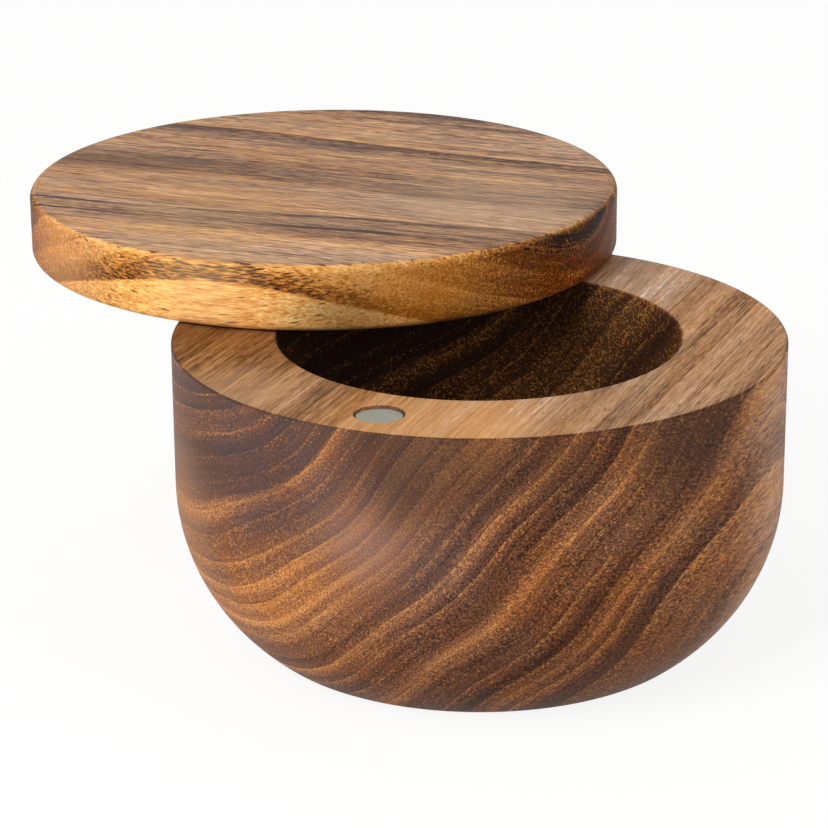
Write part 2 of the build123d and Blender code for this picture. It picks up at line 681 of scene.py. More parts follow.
class AcaciaWood:
    """The nodes of one acacia finish, laid down in steps.

    Board is the place in the board's frame, fibre the place from the pith with Y along the fibre,
    and cells the place in the wood's rows of cells, all in millimetres. Endness and upness are how
    far a face is end grain and flat top. Tone and colour are what the steps so far have made them.
    """

    arc_per_radian = 90.0  # millimetres round the pith, at a middling growth
    flat_top = (0.8, 0.985)  # upward shares of a normal where flat top starts and is full
    late_tones = (0.44, 0.14)  # tones where late wood starts and is full
    layer_roughness = 0.72  # of the patterns in the tone, which are crisper than soft mottling
    turning_pitch = 0.35  # millimetres between the lathe's marks, coarser than real so as to show
    turning_height = 0.35  # of the marks, as a share of a pore's depth
    pore_depth = 0.05  # millimetres
    pore_roughness, wood_roughness = 0.6, 0.44

    tone: Node
    colour: Node
    late: Node  # how late the ring's wood is
    sapwood: Node  # how far the board has come into it
    fresh: Node  # how near the surface is to the start of a false ring
    dips: Node  # 1 where the wood is whole, and less in a pore

    def __init__(self, finish: AcaciaFinish, tree: bpy.types.NodeTree) -> None:
        """Set out the board and lay its rings and cells through it.

        Args:
            finish: what the wood is like.
            tree: the material's nodes, empty.
        """
        self.finish = finish
        self.add = partial(add_node, tree)
        self.board = self.add(
            MAPPING, self.add(COORDINATES).outputs["Object"], finish.shift,
            (0, 0, radians(finish.turn)), (1 / MM, 1 / MM, 1 / MM),
        )
        self.fibre = self.centre_on_pith()
        self.growth = self.lay_rings()
        self.cells = self.line_up_cells()
        self.endness, self.upness = self.read_facing()
        self.upright = self.add(MATH, 1.0, self.upness, operation="SUBTRACT")
        # How dark wear makes the arrises, and painted shade the cavity
        self.worn = self.add(
            ATTRIBUTE, attribute_name="worn", attribute_type="GEOMETRY"
        ).outputs["Fac"]

    def build(self) -> None:
        """Work out the tone, turn it to colour, open the vessels and shade the wood."""
        self.tone_rings()
        self.draw_ink_lines()
        self.draw_false_rings()
        self.draw_streaks()
        self.colour_faces()
        self.vary_hue()
        self.darken_wear_and_shade()
        self.open_vessels()
        self.colour_patch()
        self.shade()

    def mottle(
        self, place: Node, per_mm: Triple, detail: float = 2.0, roughness: float = 0.5
    ) -> Node:
        """A soft random pattern about 0.5: fractal noise of the place times its rates.

        Args:
            place: millimetres along three axes.
            per_mm: blotches to a millimetre along each.
            detail: how many finer layers lie over the first.
            roughness: how strong each layer is beside the one before.

        Returns:
            The pattern.
        """
        stretched = self.add(VECTOR, place, per_mm, operation="MULTIPLY")
        return self.add(NOISE, stretched, 1.0, detail, roughness)

    def centre_on_pith(self) -> Node:
        """Measure from the pith, turned until Y runs along the fibre.

        Returns:
            The place.
        """
        trunk = self.finish.trunk
        from_pith = self.add(VECTOR, self.board, (-trunk.pith_x, 0, -trunk.pith_z),
                             operation="ADD")
        return self.add(MAPPING, from_pith, (0, 0, 0),
                        (0, radians(trunk.tilt), radians(trunk.drift)))

    def lay_rings(self) -> Node:
        """Lay the growth rings: the length of (oval x across, up) from the pith, plus the swells
        and a waver of two sizes, 14 and 2.4 mm across and eight times as long.

        Returns:
            The growth.
        """
        add, trunk = self.add, self.finish.trunk
        oval = add(VECTOR, self.fibre, (trunk.oval, 0, 1), operation="MULTIPLY")
        growth = add(VECTOR, oval, operation="LENGTH")
        for swell in trunk.swells:
            along = add(VECTOR, self.board, swell.wave_vector(), operation="DOT_PRODUCT")
            phase = add(MATH, along, radians(swell.phase), operation="ADD")
            wave = add(MATH, phase, operation="SINE")
            growth = add(MATH, wave, swell.height, growth, operation="MULTIPLY_ADD")
        for length, height in ((14.0, trunk.waver), (2.4, trunk.waver / 3)):
            waver = self.mottle(self.board, (1 / length, 0.12 / length, 1 / length))
            waver = add(MATH, waver, 0.5, operation="SUBTRACT")
            growth = add(MATH, waver, height, growth, operation="MULTIPLY_ADD")
        return growth

    def line_up_cells(self) -> Node:
        """Line the cells up by growth, round the pith and along the fibre.

        Returns:
            The place in their rows.
        """
        parts = self.add(SPLIT, self.fibre).outputs
        turn = self.add(MATH, parts["X"], parts["Z"], operation="ARCTAN2")
        around = self.add(MATH, turn, self.arc_per_radian, operation="MULTIPLY")
        return self.add(JOIN, self.growth, around, parts["Y"])

    def read_facing(self) -> tuple[Node, Node]:
        """Read how the surface faces, by its normal's shares along the fibre and upwards.

        Returns:
            How far it is end grain, and how far it is flat top.
        """
        facing = self.add(
            ATTRIBUTE, attribute_name="facing", attribute_type="GEOMETRY"
        ).outputs["Vector"]
        facing = self.add(VECTOR, facing, operation="ABSOLUTE")
        shares = self.add(SPLIT, facing).outputs
        endness = self.add(RANGE, shares["Y"], self.finish.end_from, self.finish.end_at,
                           interpolation_type="SMOOTHSTEP")
        upness = self.add(RANGE, shares["Z"], *self.flat_top, interpolation_type="SMOOTHSTEP")
        return endness, upness

    def tone_rings(self) -> None:
        """Start the tone with the ring's own, and lift it in the sapwood."""
        add, finish = self.add, self.finish
        share = add(RANGE, self.growth, finish.rings[0].start, finish.rings[-1].start)
        rings = add(RAMP, share, stops=ring_stops(finish.rings))
        rings = add(MATH, rings, 1 / GREY_PER_TONE, -GREY_AT_ZERO / GREY_PER_TONE,
                    operation="MULTIPLY_ADD")
        self.late = add(RANGE, rings, *self.late_tones)
        across = add(SPLIT, self.board).outputs["X"]
        self.sapwood = add(RANGE, across, finish.sapwood.begins, finish.sapwood.full,
                           interpolation_type="SMOOTHSTEP")
        self.tone = add(MATH, self.sapwood, finish.sapwood.rise, rings,
                        operation="MULTIPLY_ADD")

    def draw_ink_lines(self) -> None:
        """Darken the tone along each ink line, only in the sapwood, and broken every 30 mm or so
        along the fibre."""
        if not self.finish.lines:
            return
        add = self.add
        broken = add(RANGE, self.mottle(self.fibre, (0.6, 0.035, 0.6)), 0.3, 0.6)
        broken = add(MATH, broken, self.sapwood, operation="MULTIPLY")
        for line in self.finish.lines:
            away = add(MATH, self.growth, line.growth, operation="SUBTRACT")
            away = add(MATH, away, operation="ABSOLUTE")
            drawn = add(RANGE, away, line.width, line.width / 4, 0.0, -line.depth)
            self.tone = add(MATH, drawn, broken, self.tone, operation="MULTIPLY_ADD")

    def draw_false_rings(self) -> None:
        """Draw the lines within a year: growth / spacing, unevenly set over 20 mm. Each starts
        crisp and light and dims towards the next, and fades out here and there."""
        add, crisp = self.add, self.finish.crisp
        uneven = self.mottle(self.cells, (0.05, 0.004, 0.004))
        uneven = add(MATH, uneven, 3.0, operation="MULTIPLY")
        count = add(MATH, self.growth, 1 / self.finish.false_ring, uneven,
                    operation="MULTIPLY_ADD")
        part = add(MATH, count, operation="FRACT")
        whole = add(MATH, count, operation="FLOOR")
        chance = add("ShaderNodeTexWhiteNoise", whole, noise_dimensions="1D")
        fade = add(RANGE, self.mottle(self.cells, (0.08, 0.03, 0.01)), 0.35, 0.52)
        chance = add(MATH, chance, fade, operation="MULTIPLY")
        line = add(RANGE, part, 0.0, 0.2, 1.0, 0.0)
        dusk = add(RANGE, part, 0.35, 0.97)
        for drawn, height in ((line, crisp), (dusk, -crisp)):
            drawn = add(MATH, drawn, chance, operation="MULTIPLY")
            self.tone = add(MATH, drawn, height, self.tone, operation="MULTIPLY_ADD")
        fresh = add(RANGE, part, 0.0, 0.42, 1.0, 0.0)
        self.fresh = add(MATH, fresh, fade, operation="MULTIPLY")

    def draw_streaks(self) -> None:
        """Vary the tone in bands along the rings, in fibres, and in streaks and hairlines, which
        show best on the flat top and not in end grain."""
        add, streaks = self.add, self.finish.streaks
        level = add(RANGE, self.upness, 0.0, 1.0, 0.4, 1.0)
        sideness = add(MATH, 1.0, self.endness, operation="SUBTRACT")
        fine = add(RANGE, self.endness, 0.0, 1.0, 0.8, 1.0)
        level = add(MATH, level, sideness, operation="MULTIPLY")
        layers = (
            # Bands 2.4 and 0.6 mm wide along the rings
            (self.cells, (0.42, 0.01, 0.006), 3.0, 0.7, 1.0),
            (self.cells, (1.6, 0.04, 0.012), 2.0, 0.6, 1.0),
            # Bundles of fibre 0.3 mm wide. Single fibres of 0.02 mm would not show
            (self.fibre, (3.2, 0.25, 3.2), 2.0, self.finish.grain, fine),
            # Streaks 3 and 0.6 mm wide
            (self.fibre, (0.35, 0.014, 0.35), 3.0, streaks, level),
            (self.fibre, (1.7, 0.08, 1.7), 2.0, streaks * 1.3, level),
        )
        for place, per_mm, detail, height, share in layers:
            layer = self.mottle(place, per_mm, detail, self.layer_roughness)
            layer = add(MATH, layer, 0.5, operation="SUBTRACT")
            layer = add(MATH, layer, share, operation="MULTIPLY")
            self.tone = add(MATH, layer, height, self.tone, operation="MULTIPLY_ADD")
        # Hairlines: vessels cut along their length, dark where open and light where filled
        hair = self.mottle(self.fibre, (2.2, 0.045, 2.2), 1.0)
        for start, end, height in ((0.58, 0.66, -0.34), (0.42, 0.34, 0.26)):
            drawn = add(RANGE, hair, start, end, 0.0, height)
            self.tone = add(MATH, drawn, level, self.tone, operation="MULTIPLY_ADD")

    def colour_faces(self) -> None:
        """Turn the tone to colour by the kind of face that shows it, and lay a painted sheen, a
        grey reflection, over the upright faces, most of all on late wood."""
        add, finish = self.add, self.finish
        share = add(RANGE, self.tone, INKY, GLEAMING)
        ends, sides, faces = (
            add(RAMP, share, stops=tones.stops())
            for tones in (finish.end_grain, finish.side_grain, finish.face_grain)
        )
        if finish.soaked_inside is not None:
            ends = self.soak(ends, finish.soaked_inside)
        colour = add(MIX, self.endness, sides, ends, data_type="RGBA")
        self.colour = add(MIX, self.upness, colour, faces, data_type="RGBA")
        # Painted sheen: a grey reflection laid over the upright faces as colour
        if finish.painted_sheen:
            painted_sheen = add(RANGE, self.growth, finish.painted_sheen.gone, finish.painted_sheen.full)
            late = add(RANGE, self.tone, 0.6, 0.0, 0.1, 0.5)
            for share in (late, self.upright):
                painted_sheen = add(MATH, painted_sheen, share, operation="MULTIPLY")
            self.colour = add(MIX, painted_sheen, self.colour, linear(finish.painted_sheen.paint),
                              data_type="RGBA")

    def soak(self, ends: Node, inside: float) -> Node:
        """Darken the end grain that drank the most oil nearly to black, most of all at its ragged
        front, which is itself a bright line: 4 s (1 - s) of the soaking, at 0.6.

        Args:
            ends: the end grain's colour.
            inside: the growth that the oil came up to.

        Returns:
            The soaked colour.
        """
        add = self.add
        ragged = add(MATH, self.tone, 2.0, self.growth, operation="MULTIPLY_ADD")
        soaked = add(RANGE, ragged, inside + 0.5, inside - 0.5)
        deep = add(RANGE, self.growth, inside - 1.5, inside - 6.0, 0.85, 0.45)
        share = add(MATH, soaked, deep, operation="MULTIPLY")
        ends = add(MIX, share, ends, linear(self.finish.end_grain.ink), data_type="RGBA")
        front = add(MATH, 1.0, soaked, operation="SUBTRACT")
        front = add(MATH, soaked, front, operation="MULTIPLY")
        front = add(MATH, front, 2.4, operation="MULTIPLY")
        return add(MIX, front, ends, linear(self.finish.end_grain.gleam), data_type="RGBA")

    def vary_hue(self) -> None:
        """Let the wood's own hue wander between orange and a greyish pink, over 9 mm across the
        fibre and 70 mm along it."""
        wander = self.mottle(self.fibre, (0.11, 0.014, 0.11), 3.0)
        wander = self.add(RANGE, wander, 0.35, 0.65)
        tint = self.add(MIX, wander, (1.1, 0.97, 0.78, 1), (0.96, 1.0, 1.15, 1),
                        data_type="RGBA")
        self.colour = self.add(VECTOR, self.colour, tint, operation="MULTIPLY")

    def darken_wear_and_shade(self) -> None:
        """Darken the turned arrises, by handling and oil, and the cavity with painted shade."""
        dark = self.add(RANGE, self.worn, 0.0, 1.0, 0.0, self.finish.wear_and_shade_darkness)
        self.colour = self.add(MIX, dark, self.colour, linear(self.finish.side_grain.ink),
                               data_type="RGBA")

    def open_vessels(self) -> None:
        """Put the vessels into the colour, dots in end grain and dashes along the fibre: the
        distance to the nearest point of a jittered lattice, made ragged."""
        add, tubes = self.add, self.finish.vessels
        # Sheaths crowd at the starts of false rings, in bright wood and on the cavity's wall
        bright = add(RANGE, self.tone, 0.4, 1.0, 0.0, self.finish.glitter)
        fresh = add(MATH, self.fresh, bright, operation="ADD")
        crowd = add(RANGE, self.tone, 0.1, 0.75, 0.05, 0.5)
        fresh = add(MATH, self.worn, crowd, fresh, operation="MULTIPLY_ADD")
        across, along = 1 / tubes.spacing, 1 / (tubes.spacing * tubes.stretch)
        lattice = add(VECTOR, self.cells, (across, across, along), operation="MULTIPLY")
        tube = add("ShaderNodeTexVoronoi", lattice, 1.0)
        ragged = add(NOISE, lattice, 1.7, 2.0, 0.7)
        ragged = add(MATH, ragged, 0.5, operation="SUBTRACT")
        ragged = add(MATH, ragged, 0.8, tube.outputs["Distance"], operation="MULTIPLY_ADD")
        chance = add(SPLIT, tube.outputs["Color"]).outputs
        # Some tubes are finer than others, and they are widest where they crowd
        for share, narrowing in ((chance["Z"], 0.2), (fresh, -0.12)):
            ragged = add(MATH, share, narrowing, ragged, operation="MULTIPLY_ADD")
        lit = add(RANGE, self.tone, 0.0, 0.8, 0.1, 0.9)
        fade = add(RANGE, self.upness, 0.0, 1.0, 1.0, tubes.on_face)
        marks = (
            (tubes.sheath, fresh, chance["X"], lit),
            (tubes.pore, self.late, chance["Y"], 0.9),
        )
        # A mark fades out from 0.6 of its reach
        for mark, where, lot, strength in marks:
            shape = add(RANGE, ragged, mark.reach, mark.reach * 0.6)
            share = add(RANGE, where, 0.0, 1.0, mark.sparse, mark.crowded)
            share = add(MATH, self.upness, mark.more_on_top, share, operation="MULTIPLY_ADD")
            shown = add(MATH, lot, share, operation="LESS_THAN")
            for factor in (shown, strength, fade):
                shape = add(MATH, shape, factor, operation="MULTIPLY")
            self.colour = add(MIX, shape, self.colour, linear(mark.paint), data_type="RGBA")
        self.dips = add(MATH, 1.0, shape, operation="SUBTRACT")

    def colour_patch(self) -> None:
        """Lay each stain and patch of painted light over the colour: a smooth step of the distance
        from its centre, with the way along the fibre shortened."""
        add = self.add
        shown = {Face.UPRIGHT: self.upright, Face.TOP: self.upness}
        for colour_patch in self.finish.stains_and_light:
            away = add(MAPPING, self.board, colour_patch.centre, (0, 0, 0), (1, colour_patch.along, 1),
                       vector_type="TEXTURE")
            away = add(VECTOR, away, operation="LENGTH")
            share = add(RANGE, away, colour_patch.outer, colour_patch.inner, 0.0, colour_patch.strength,
                        interpolation_type="SMOOTHSTEP")
            share = add(MATH, share, shown[colour_patch.face], operation="MULTIPLY")
            self.colour = add(MIX, share, self.colour, linear(colour_patch.paint), data_type="RGBA")

    def shade(self) -> None:
        """Give the surface faint rings round the lathe's axis and a tooth where vessels open, and
        join it all in the shader."""
        add = self.add
        plan = add(VECTOR, self.board, (1, 1, 0), operation="MULTIPLY")
        radius = add(VECTOR, plan, operation="LENGTH")
        height = add(VECTOR, self.board, (0, 0, 1), operation="DOT_PRODUCT")
        marks = add(NOISE, add(JOIN, radius, height), 1 / self.turning_pitch, 2.0)
        surface = add(MATH, marks, self.turning_height, self.dips, operation="MULTIPLY_ADD")
        rough = add(RANGE, surface, 0.0, 1 + self.turning_height, self.pore_roughness,
                    self.wood_roughness)
        relief = add(BUMP, named={"Strength": 0.3, "Distance": self.pore_depth * MM,
                                  "Height": surface})
        # Oil sinks in and leaves no film, so the wood has little gloss of its own
        wood = add(PRINCIPLED, named={
            "Base Color": self.colour, "Roughness": rough, "IOR": 1.5,
            "Specular IOR Level": 0.05, "Normal": relief,
        })
        add(SURFACE, wood)


# ------------------------------------------------------------------ metal


@dataclass(frozen=True)
class MetalFinish:
    """A plated or ground metal: its colour, its scratches' colour, how dull it is, and how wide
    its scratches are, in millimetres. Real ones are finer and would not show."""

    name: str
    colour: str
    scratch: str
    roughness: float
    scratch_width: float
    scratch_angle: float = 25.0
    scratch_depth: float = 0.02

    def material(self) -> bpy.types.Material:
        """Build the finish's nodes: scratches eight times as long as wide, that lighten the metal,
        dull it and stand in it as a shallow relief.

        Returns:
            The material.
        """
        made = blank_material(self.name)
        add = partial(add_node, made.node_tree)
        stretched = add(MAPPING, add(COORDINATES).outputs["Object"], (0, 0, 0),
                        (0, 0, radians(self.scratch_angle)), (0.12 / MM, 1 / MM, 1 / MM))
        lines = add(NOISE, stretched, 1 / self.scratch_width, 3.0)
        colour = add(MIX, lines, linear(self.colour), linear(self.scratch), data_type="RGBA")
        rough = add(RANGE, lines, 0.0, 1.0, self.roughness - 0.1, self.roughness + 0.15)
        relief = add(BUMP, named={"Strength": 0.2, "Distance": self.scratch_depth * MM,
                                  "Height": lines})
        metal = add(PRINCIPLED, named={
            "Base Color": colour, "Metallic": 1.0, "Roughness": rough, "Normal": relief,
        })
        add(SURFACE, metal)
        return made


# ------------------------------------------------------------------ pieces


@dataclass
class Keeper:
    """Sizes that the pieces share."""

    bowl_radius: float = 52.2
    bowl_height: float = 53.3
    pin_y: float = 46.3
    pin_bottom: float = 37.6
    pin_hole_radius: float = 2.55
    pin_socket_radius: float = 2.53
    pin_socket_depth: float = 8.0
    pin_window: Pair = (41.0, 51.3)
    pin_window_angle: float = 7.0
    magnet_y: float = -43.8
    pocket_radius: float = 4.1
    pocket_depth: float = 3.4
    pocket_window: Pair = (36.6, 51.0)
    pocket_window_angle: float = 9.5
    lid_underside: float = 53.6
    swing: float = -81.2

    def open_lid(self) -> Matrix:
        """The lid's turn from shut to its pose, about the pin's axis, in millimetres."""
        pivot = Matrix.Translation((0, self.pin_y, 0))
        return pivot @ Matrix.Rotation(radians(self.swing), 4, "Z") @ pivot.inverted()

    def holes(self, face: float, way: Way, radius: float, depth: float) -> tuple[Bore, Bore]:
        """The pin's hole and the magnet's pocket in one flat face.

        Args:
            face: the face's height.
            way: the way that both go in.
            radius: the pin's hole's radius.
            depth: its depth.

        Returns:
            The two, with windows that clear the face's rounded edges.
        """
        return (
            Bore(self.pin_y, radius, depth, face, way, self.pin_window, self.pin_window_angle),
            Bore(self.magnet_y, self.pocket_radius, self.pocket_depth, face, way,
                 self.pocket_window, self.pocket_window_angle),
        )


@dataclass
class Bowl:
    """The turned bowl: an upright wall over a rounded belly, with a bored cavity."""

    keeper: Keeper
    finish: AcaciaFinish
    belly_radius: float = 35.0
    foot_radius: float = 37.8
    foot_edge_radius: float = 3.3
    rim_width: float = 17.9
    rim_edge_radius: float = 0.45
    floor_thickness: float = 11.3
    cavity_corner_radius: float = 10.0
    next_to_edge: float = 0.12
    worn_width: float = 0.3
    wall_margin: float = 0.05

    def profile(self) -> np.ndarray:
        """The bowl's section, of straight runs joined by arcs.

        Returns:
            Rows of distance and height from the middle of the cavity's floor, up its wall, over
            the rim, down the outside and in under the foot.
        """
        edge, corner, near = self.rim_edge_radius, self.cavity_corner_radius, self.next_to_edge
        out, top, floor = self.keeper.bowl_radius, self.keeper.bowl_height, self.floor_thickness
        inside = out - self.rim_width
        middle = out - self.belly_radius
        sweep = np.degrees(np.arccos((self.foot_radius - middle) / self.belly_radius))
        belly_height = self.belly_radius * sin(radians(sweep))
        # The foot's arc touches the resting plane, and the belly's arc from inside
        foot = self.foot_edge_radius
        reach = self.belly_radius - foot
        foot_angle = np.degrees(np.arcsin((belly_height - foot) / reach))
        foot_centre = middle + reach * cos(radians(foot_angle))
        return np.vstack([
            [(0, floor)],
            run((0, floor), (inside - corner, floor), 24),
            arc((inside - corner, floor + corner), corner, -90, 0, 20),
            run((inside, floor + corner), (inside, top - edge), 26),
            arc((inside + edge, top - edge), edge, 180, 90, 6),
            [(inside + edge + near, top)],
            run((inside + edge, top), (out - edge, top), 24),
            [(out - edge - near, top)],
            arc((out - edge, top - edge), edge, 90, 0, 6),
            [(out, top - edge - near)],
            run((out, top - edge), (out, belly_height), 20),
            arc((middle, belly_height), self.belly_radius, 0, -foot_angle, 40),
            arc((foot_centre, foot), foot, -foot_angle, -90, 8)[1:],
            run((foot_centre, 0), (0, 0), 24),
            [(0, 0)],
        ])

    def build(self) -> bpy.types.Object:
        """Turn the bowl, sink the pin's hole and the magnet's pocket, and dress it.

        Returns:
            The bowl, riding on its body in place of its CAD node.
        """
        size = self.keeper
        outer, top = size.bowl_radius, size.bowl_height
        inner = outer - self.rim_width
        solid = TurnedSolid(self.profile())
        for hole in size.holes(top, Way.DOWN, size.pin_hole_radius, top - size.pin_bottom):
            solid.bore(hole)
        mesh = solid.mesh("bowl_turned", Matrix.Scale(MM, 4))
        mark_facing(mesh, Matrix.Identity(4))
        mark_wear_and_shade(mesh, Matrix.Identity(4), ((outer, top), (inner, top)), self.worn_width,
                  (inner + self.wall_margin, self.floor_thickness - self.wall_margin))
        return mount("bowl_turned", mesh, self.finish, "bowl", "bowl")


@dataclass
class Lid:
    """The flat disc lid, with softened edges and two sockets in its underside."""

    keeper: Keeper
    finish: AcaciaFinish
    radius: float = 54.0
    thickness: float = 11.8
    edge_radius: float = 1.4
    next_to_edge: tuple[float, float] = (0.15, 0.4)
    worn_width: float = 0.25
    worn_outset: float = 0.1

    def profile(self) -> np.ndarray:
        """The lid's section, of straight runs joined by arcs.

        Returns:
            Rows of distance and height from the middle of the underside, out, up over both
            rounded edges and in over the top.
        """
        edge = self.edge_radius
        bottom = self.keeper.lid_underside
        top = bottom + self.thickness
        out = self.radius - edge
        return np.vstack([
            [(0, bottom)],
            run((0, bottom), (out, bottom), 60),
            arc((out, bottom + edge), edge, -90, 0, 12),
            run((self.radius, bottom + edge), (self.radius, top - edge), 12),
            arc((out, top - edge), edge, 0, 90, 12),
            [(out - near, top) for near in self.next_to_edge],
            run((out, top), (0, top), 44),
            [(0, top)],
        ])

    def build(self) -> bpy.types.Object:
        """Turn the lid, sink its socket and its pocket, swing it open and dress it.

        Returns:
            The lid, riding on its body in place of its CAD node.
        """
        size = self.keeper
        bottom = size.lid_underside
        solid = TurnedSolid(self.profile())
        for hole in size.holes(bottom, Way.UP, size.pin_socket_radius, size.pin_socket_depth):
            solid.bore(hole)
        opened = size.open_lid()
        mesh = solid.mesh("lid_turned", Matrix.Scale(MM, 4) @ opened)
        mark_facing(mesh, opened.inverted())
        arris = self.radius - self.edge_radius + self.worn_outset
        mark_wear_and_shade(mesh, opened.inverted(), ((arris, bottom + self.thickness), (arris, bottom)),
                  self.worn_width)
        return mount("lid_turned", mesh, self.finish, "lid", "lid")


def mount(
    name: str, mesh: bpy.types.Mesh, finish: AcaciaFinish, body: str, node: str
) -> bpy.types.Object:
    """Put a mesh into the scene with its finish, in place of a CAD node.

    Args:
        name: the piece's name.
        mesh: its mesh, in the part's frame.
        finish: its finish.
        body: the CAD body that it rides on.
        node: the CAD node that it stands for.

    Returns:
        The piece.
    """
    piece = link(name, mesh)
    piece.data.materials.append(finish.material())
    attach(piece, body)
    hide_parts(node)
    log.info("%s: %d points, %d faces, rides on %s", name, len(mesh.vertices),
             len(mesh.polygons), body)
    return piece


def link(name: str, data: bpy.types.ID) -> bpy.types.Object:
    """Put a mesh, a lamp or a camera into the scene.

    Args:
        name: the object's name.
        data: what it holds.

    Returns:
        The object.
    """
    made = bpy.data.objects.new(name, data)
    bpy.context.scene.collection.objects.link(made)
    return made


def dress(node: str, material: bpy.types.Material) -> None:
    """Give a CAD node that keeps its shape a finish of this scene's own.

    Args:
        node: the node's name.
        material: the finish.
    """
    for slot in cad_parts[node].material_slots:
        slot.material = material
    log.info("%s: CAD node dressed in %s", node, material.name)


# ------------------------------------------------------------------ studio


def direction(azimuth: float, elevation: float) -> Vector:
    """Unit vector towards an azimuth from the front, turning to the right, and an elevation."""
    az, el = radians(azimuth), radians(elevation)
    return Vector((sin(az) * cos(el), -cos(az) * cos(el), sin(el)))


@dataclass(frozen=True)
class SoftLight:
    """A square soft box that looks at a point of the keeper, in metres."""

    name: str
    azimuth: float
    elevation: float
    distance: float
    size: float
    watts: float

    def build(self, aim: Vector) -> None:
        """Hang the lamp: aim + distance x the direction that azimuth and elevation give.

        Args:
            aim: the point that it looks at.
        """
        away = direction(self.azimuth, self.elevation)
        lamp = bpy.data.lights.new(self.name, "AREA")
        lamp.shape, lamp.size, lamp.energy = "SQUARE", self.size, self.watts
        holder = link(self.name, lamp)
        holder.location = aim + away * self.distance
        holder.rotation_mode = "QUATERNION"
        holder.rotation_quaternion = (-away).to_track_quat("-Z", "Y")


@dataclass(frozen=True)
class Camera:
    """A long lens aimed at a point on its own axis, in millimetres, with its clipping in metres."""

    aim: Triple = (-11.8, -0.6, 37.3)
    azimuth: float = 22.32
    elevation: float = 19.73
    distance: float = 543.0
    roll: float = -0.40
    lens: float = 136.75
    sensor: float = 36.0
    clip: Pair = (0.05, 20.0)

    def build(self) -> None:
        """Stand the camera at aim + distance x the direction that its angles give."""
        away = direction(self.azimuth, self.elevation)
        lens = bpy.data.cameras.new("camera")
        lens.lens, lens.sensor_width, lens.sensor_fit = self.lens, self.sensor, "HORIZONTAL"
        lens.clip_start, lens.clip_end = self.clip
        holder = link("camera", lens)
        level = (-away).to_track_quat("-Z", "Y").to_matrix()
        rolled = level @ Matrix.Rotation(radians(self.roll), 3, "Z")
        holder.rotation_mode = "QUATERNION"
        holder.rotation_quaternion = rolled.to_quaternion()
        holder.location = (Vector(self.aim) + away * self.distance) * MM
        bpy.context.scene.camera = holder


@dataclass(frozen=True)
class Studio:
    """A pale sweep, a pale room and two soft boxes, in metres."""

    lights: tuple[SoftLight, ...] = (
        SoftLight("key", -24, 36, 1.1, 0.6, 8.2),
        SoftLight("fill", 75, 30, 1.3, 0.9, 1.5),
    )
    aim_height: float = 0.03
    room: float = 0.56
    floor: str = "#f4f3f1"
    half_floor: float = 1.5
    # The share of plain white over the paper where it is seen, which leaves the shadow, and the
    # white's strength
    lift: float = 0.85
    glow: float = 1.03

    def build(self) -> None:
        """Light the room, lay the floor and hang the soft boxes."""
        bpy.context.scene.view_settings.view_transform = "Standard"
        self.light_room()
        self.lay_floor()
        for light in self.lights:
            light.build(Vector((0, 0, self.aim_height)))

    def light_room(self) -> None:
        """Give the world a level that lights the keeper, and white where it is seen."""
        scene = bpy.context.scene
        scene.world = scene.world or bpy.data.worlds.new("studio")
        scene.world.use_nodes = True
        tree = scene.world.node_tree
        tree.nodes.clear()
        level = add_node(tree, MIX, self.seen_directly(tree), self.room, 1.0)
        sky = add_node(tree, "ShaderNodeBackground", linear("#ffffff"), level)
        add_node(tree, "ShaderNodeOutputWorld", sky)

    def lay_floor(self) -> None:
        """Lay a square of matt paper that glows a little where it is seen."""
        half = self.half_floor
        sweep = bpy.data.meshes.new("floor")
        corners = [(-half, -half, 0), (half, -half, 0), (half, half, 0), (-half, half, 0)]
        sweep.from_pydata(corners, [], [(0, 1, 2, 3)])
        floor = link("floor", sweep)
        paper = blank_material("matt_paper_sweep")
        add = partial(add_node, paper.node_tree)
        lift = add(MATH, self.seen_directly(paper.node_tree), self.lift, operation="MULTIPLY")
        matt = add("ShaderNodeBsdfDiffuse", linear(self.floor))
        glow = add("ShaderNodeEmission", linear("#ffffff"), self.glow)
        add(SURFACE, add("ShaderNodeMixShader", lift, matt, glow))
        sweep.materials.append(paper)

    @staticmethod
    def seen_directly(tree: bpy.types.NodeTree) -> Node:
        """Tell the rays that show a thing from those that only light by it.

        Args:
            tree: the nodes of the room or the floor.

        Returns:
            1 for what the camera sees, straight or in a reflection, and 0 for what lights.
        """
        rays = add_node(tree, "ShaderNodeLightPath").outputs
        mirrored = add_node(tree, MATH, rays["Is Glossy Ray"], rays["Is Transmission Ray"],
                            operation="MAXIMUM")
        return add_node(tree, MATH, rays["Is Camera Ray"], mirrored, operation="MAXIMUM")


# ------------------------------------------------------------------ this keeper

BOWL_TRUNK = Trunk(
    pith_x=-47.5, pith_z=108.3, oval=1.22, tilt=-12.7, drift=0.0, waver=1.0,
    swells=(Swell(0.65, 52.0, (1, 0, 0), 12), Swell(0.62, 28.6, (-0.574, 0, -0.819), 297)),
)
BOWL_RINGS = (
    Ring(50.0, 0.30, 0.20, 0.04, rise=4.0),
    Ring(65.5, 0.32, 0.13, 0.14, rise=1.0, share=0.22),
    Ring(80.7, 0.75, 0.32, 0.32, rise=1.6, share=0.58),
    Ring(88.3, 0.56, 0.55, 0.55, rise=2.2, share=0.0),
    Ring(95.5, 0.90, 0.60, 0.62, rise=1.6, share=0.5),
    Ring(101.9, 0.95, 0.53, 0.18, rise=2.5, share=0.42),
    Ring(113.5, 0.65, 0.33, 0.06, rise=4.0, share=0.22),
    Ring(124.9, 0.64, 0.18, 0.18, rise=1.5, share=0.55),
    Ring(131.3, 0.36, 0.26, 0.10, rise=4.5, share=0.25),
    Ring(139.4, 0.47, 0.22, 0.32, rise=4.0, share=0.25),
    Ring(150.9, 0.32, 0.12, 0.15, rise=2.0, share=0.2),
    Ring(166.0, 0.4, 0.3, 0.2),
)
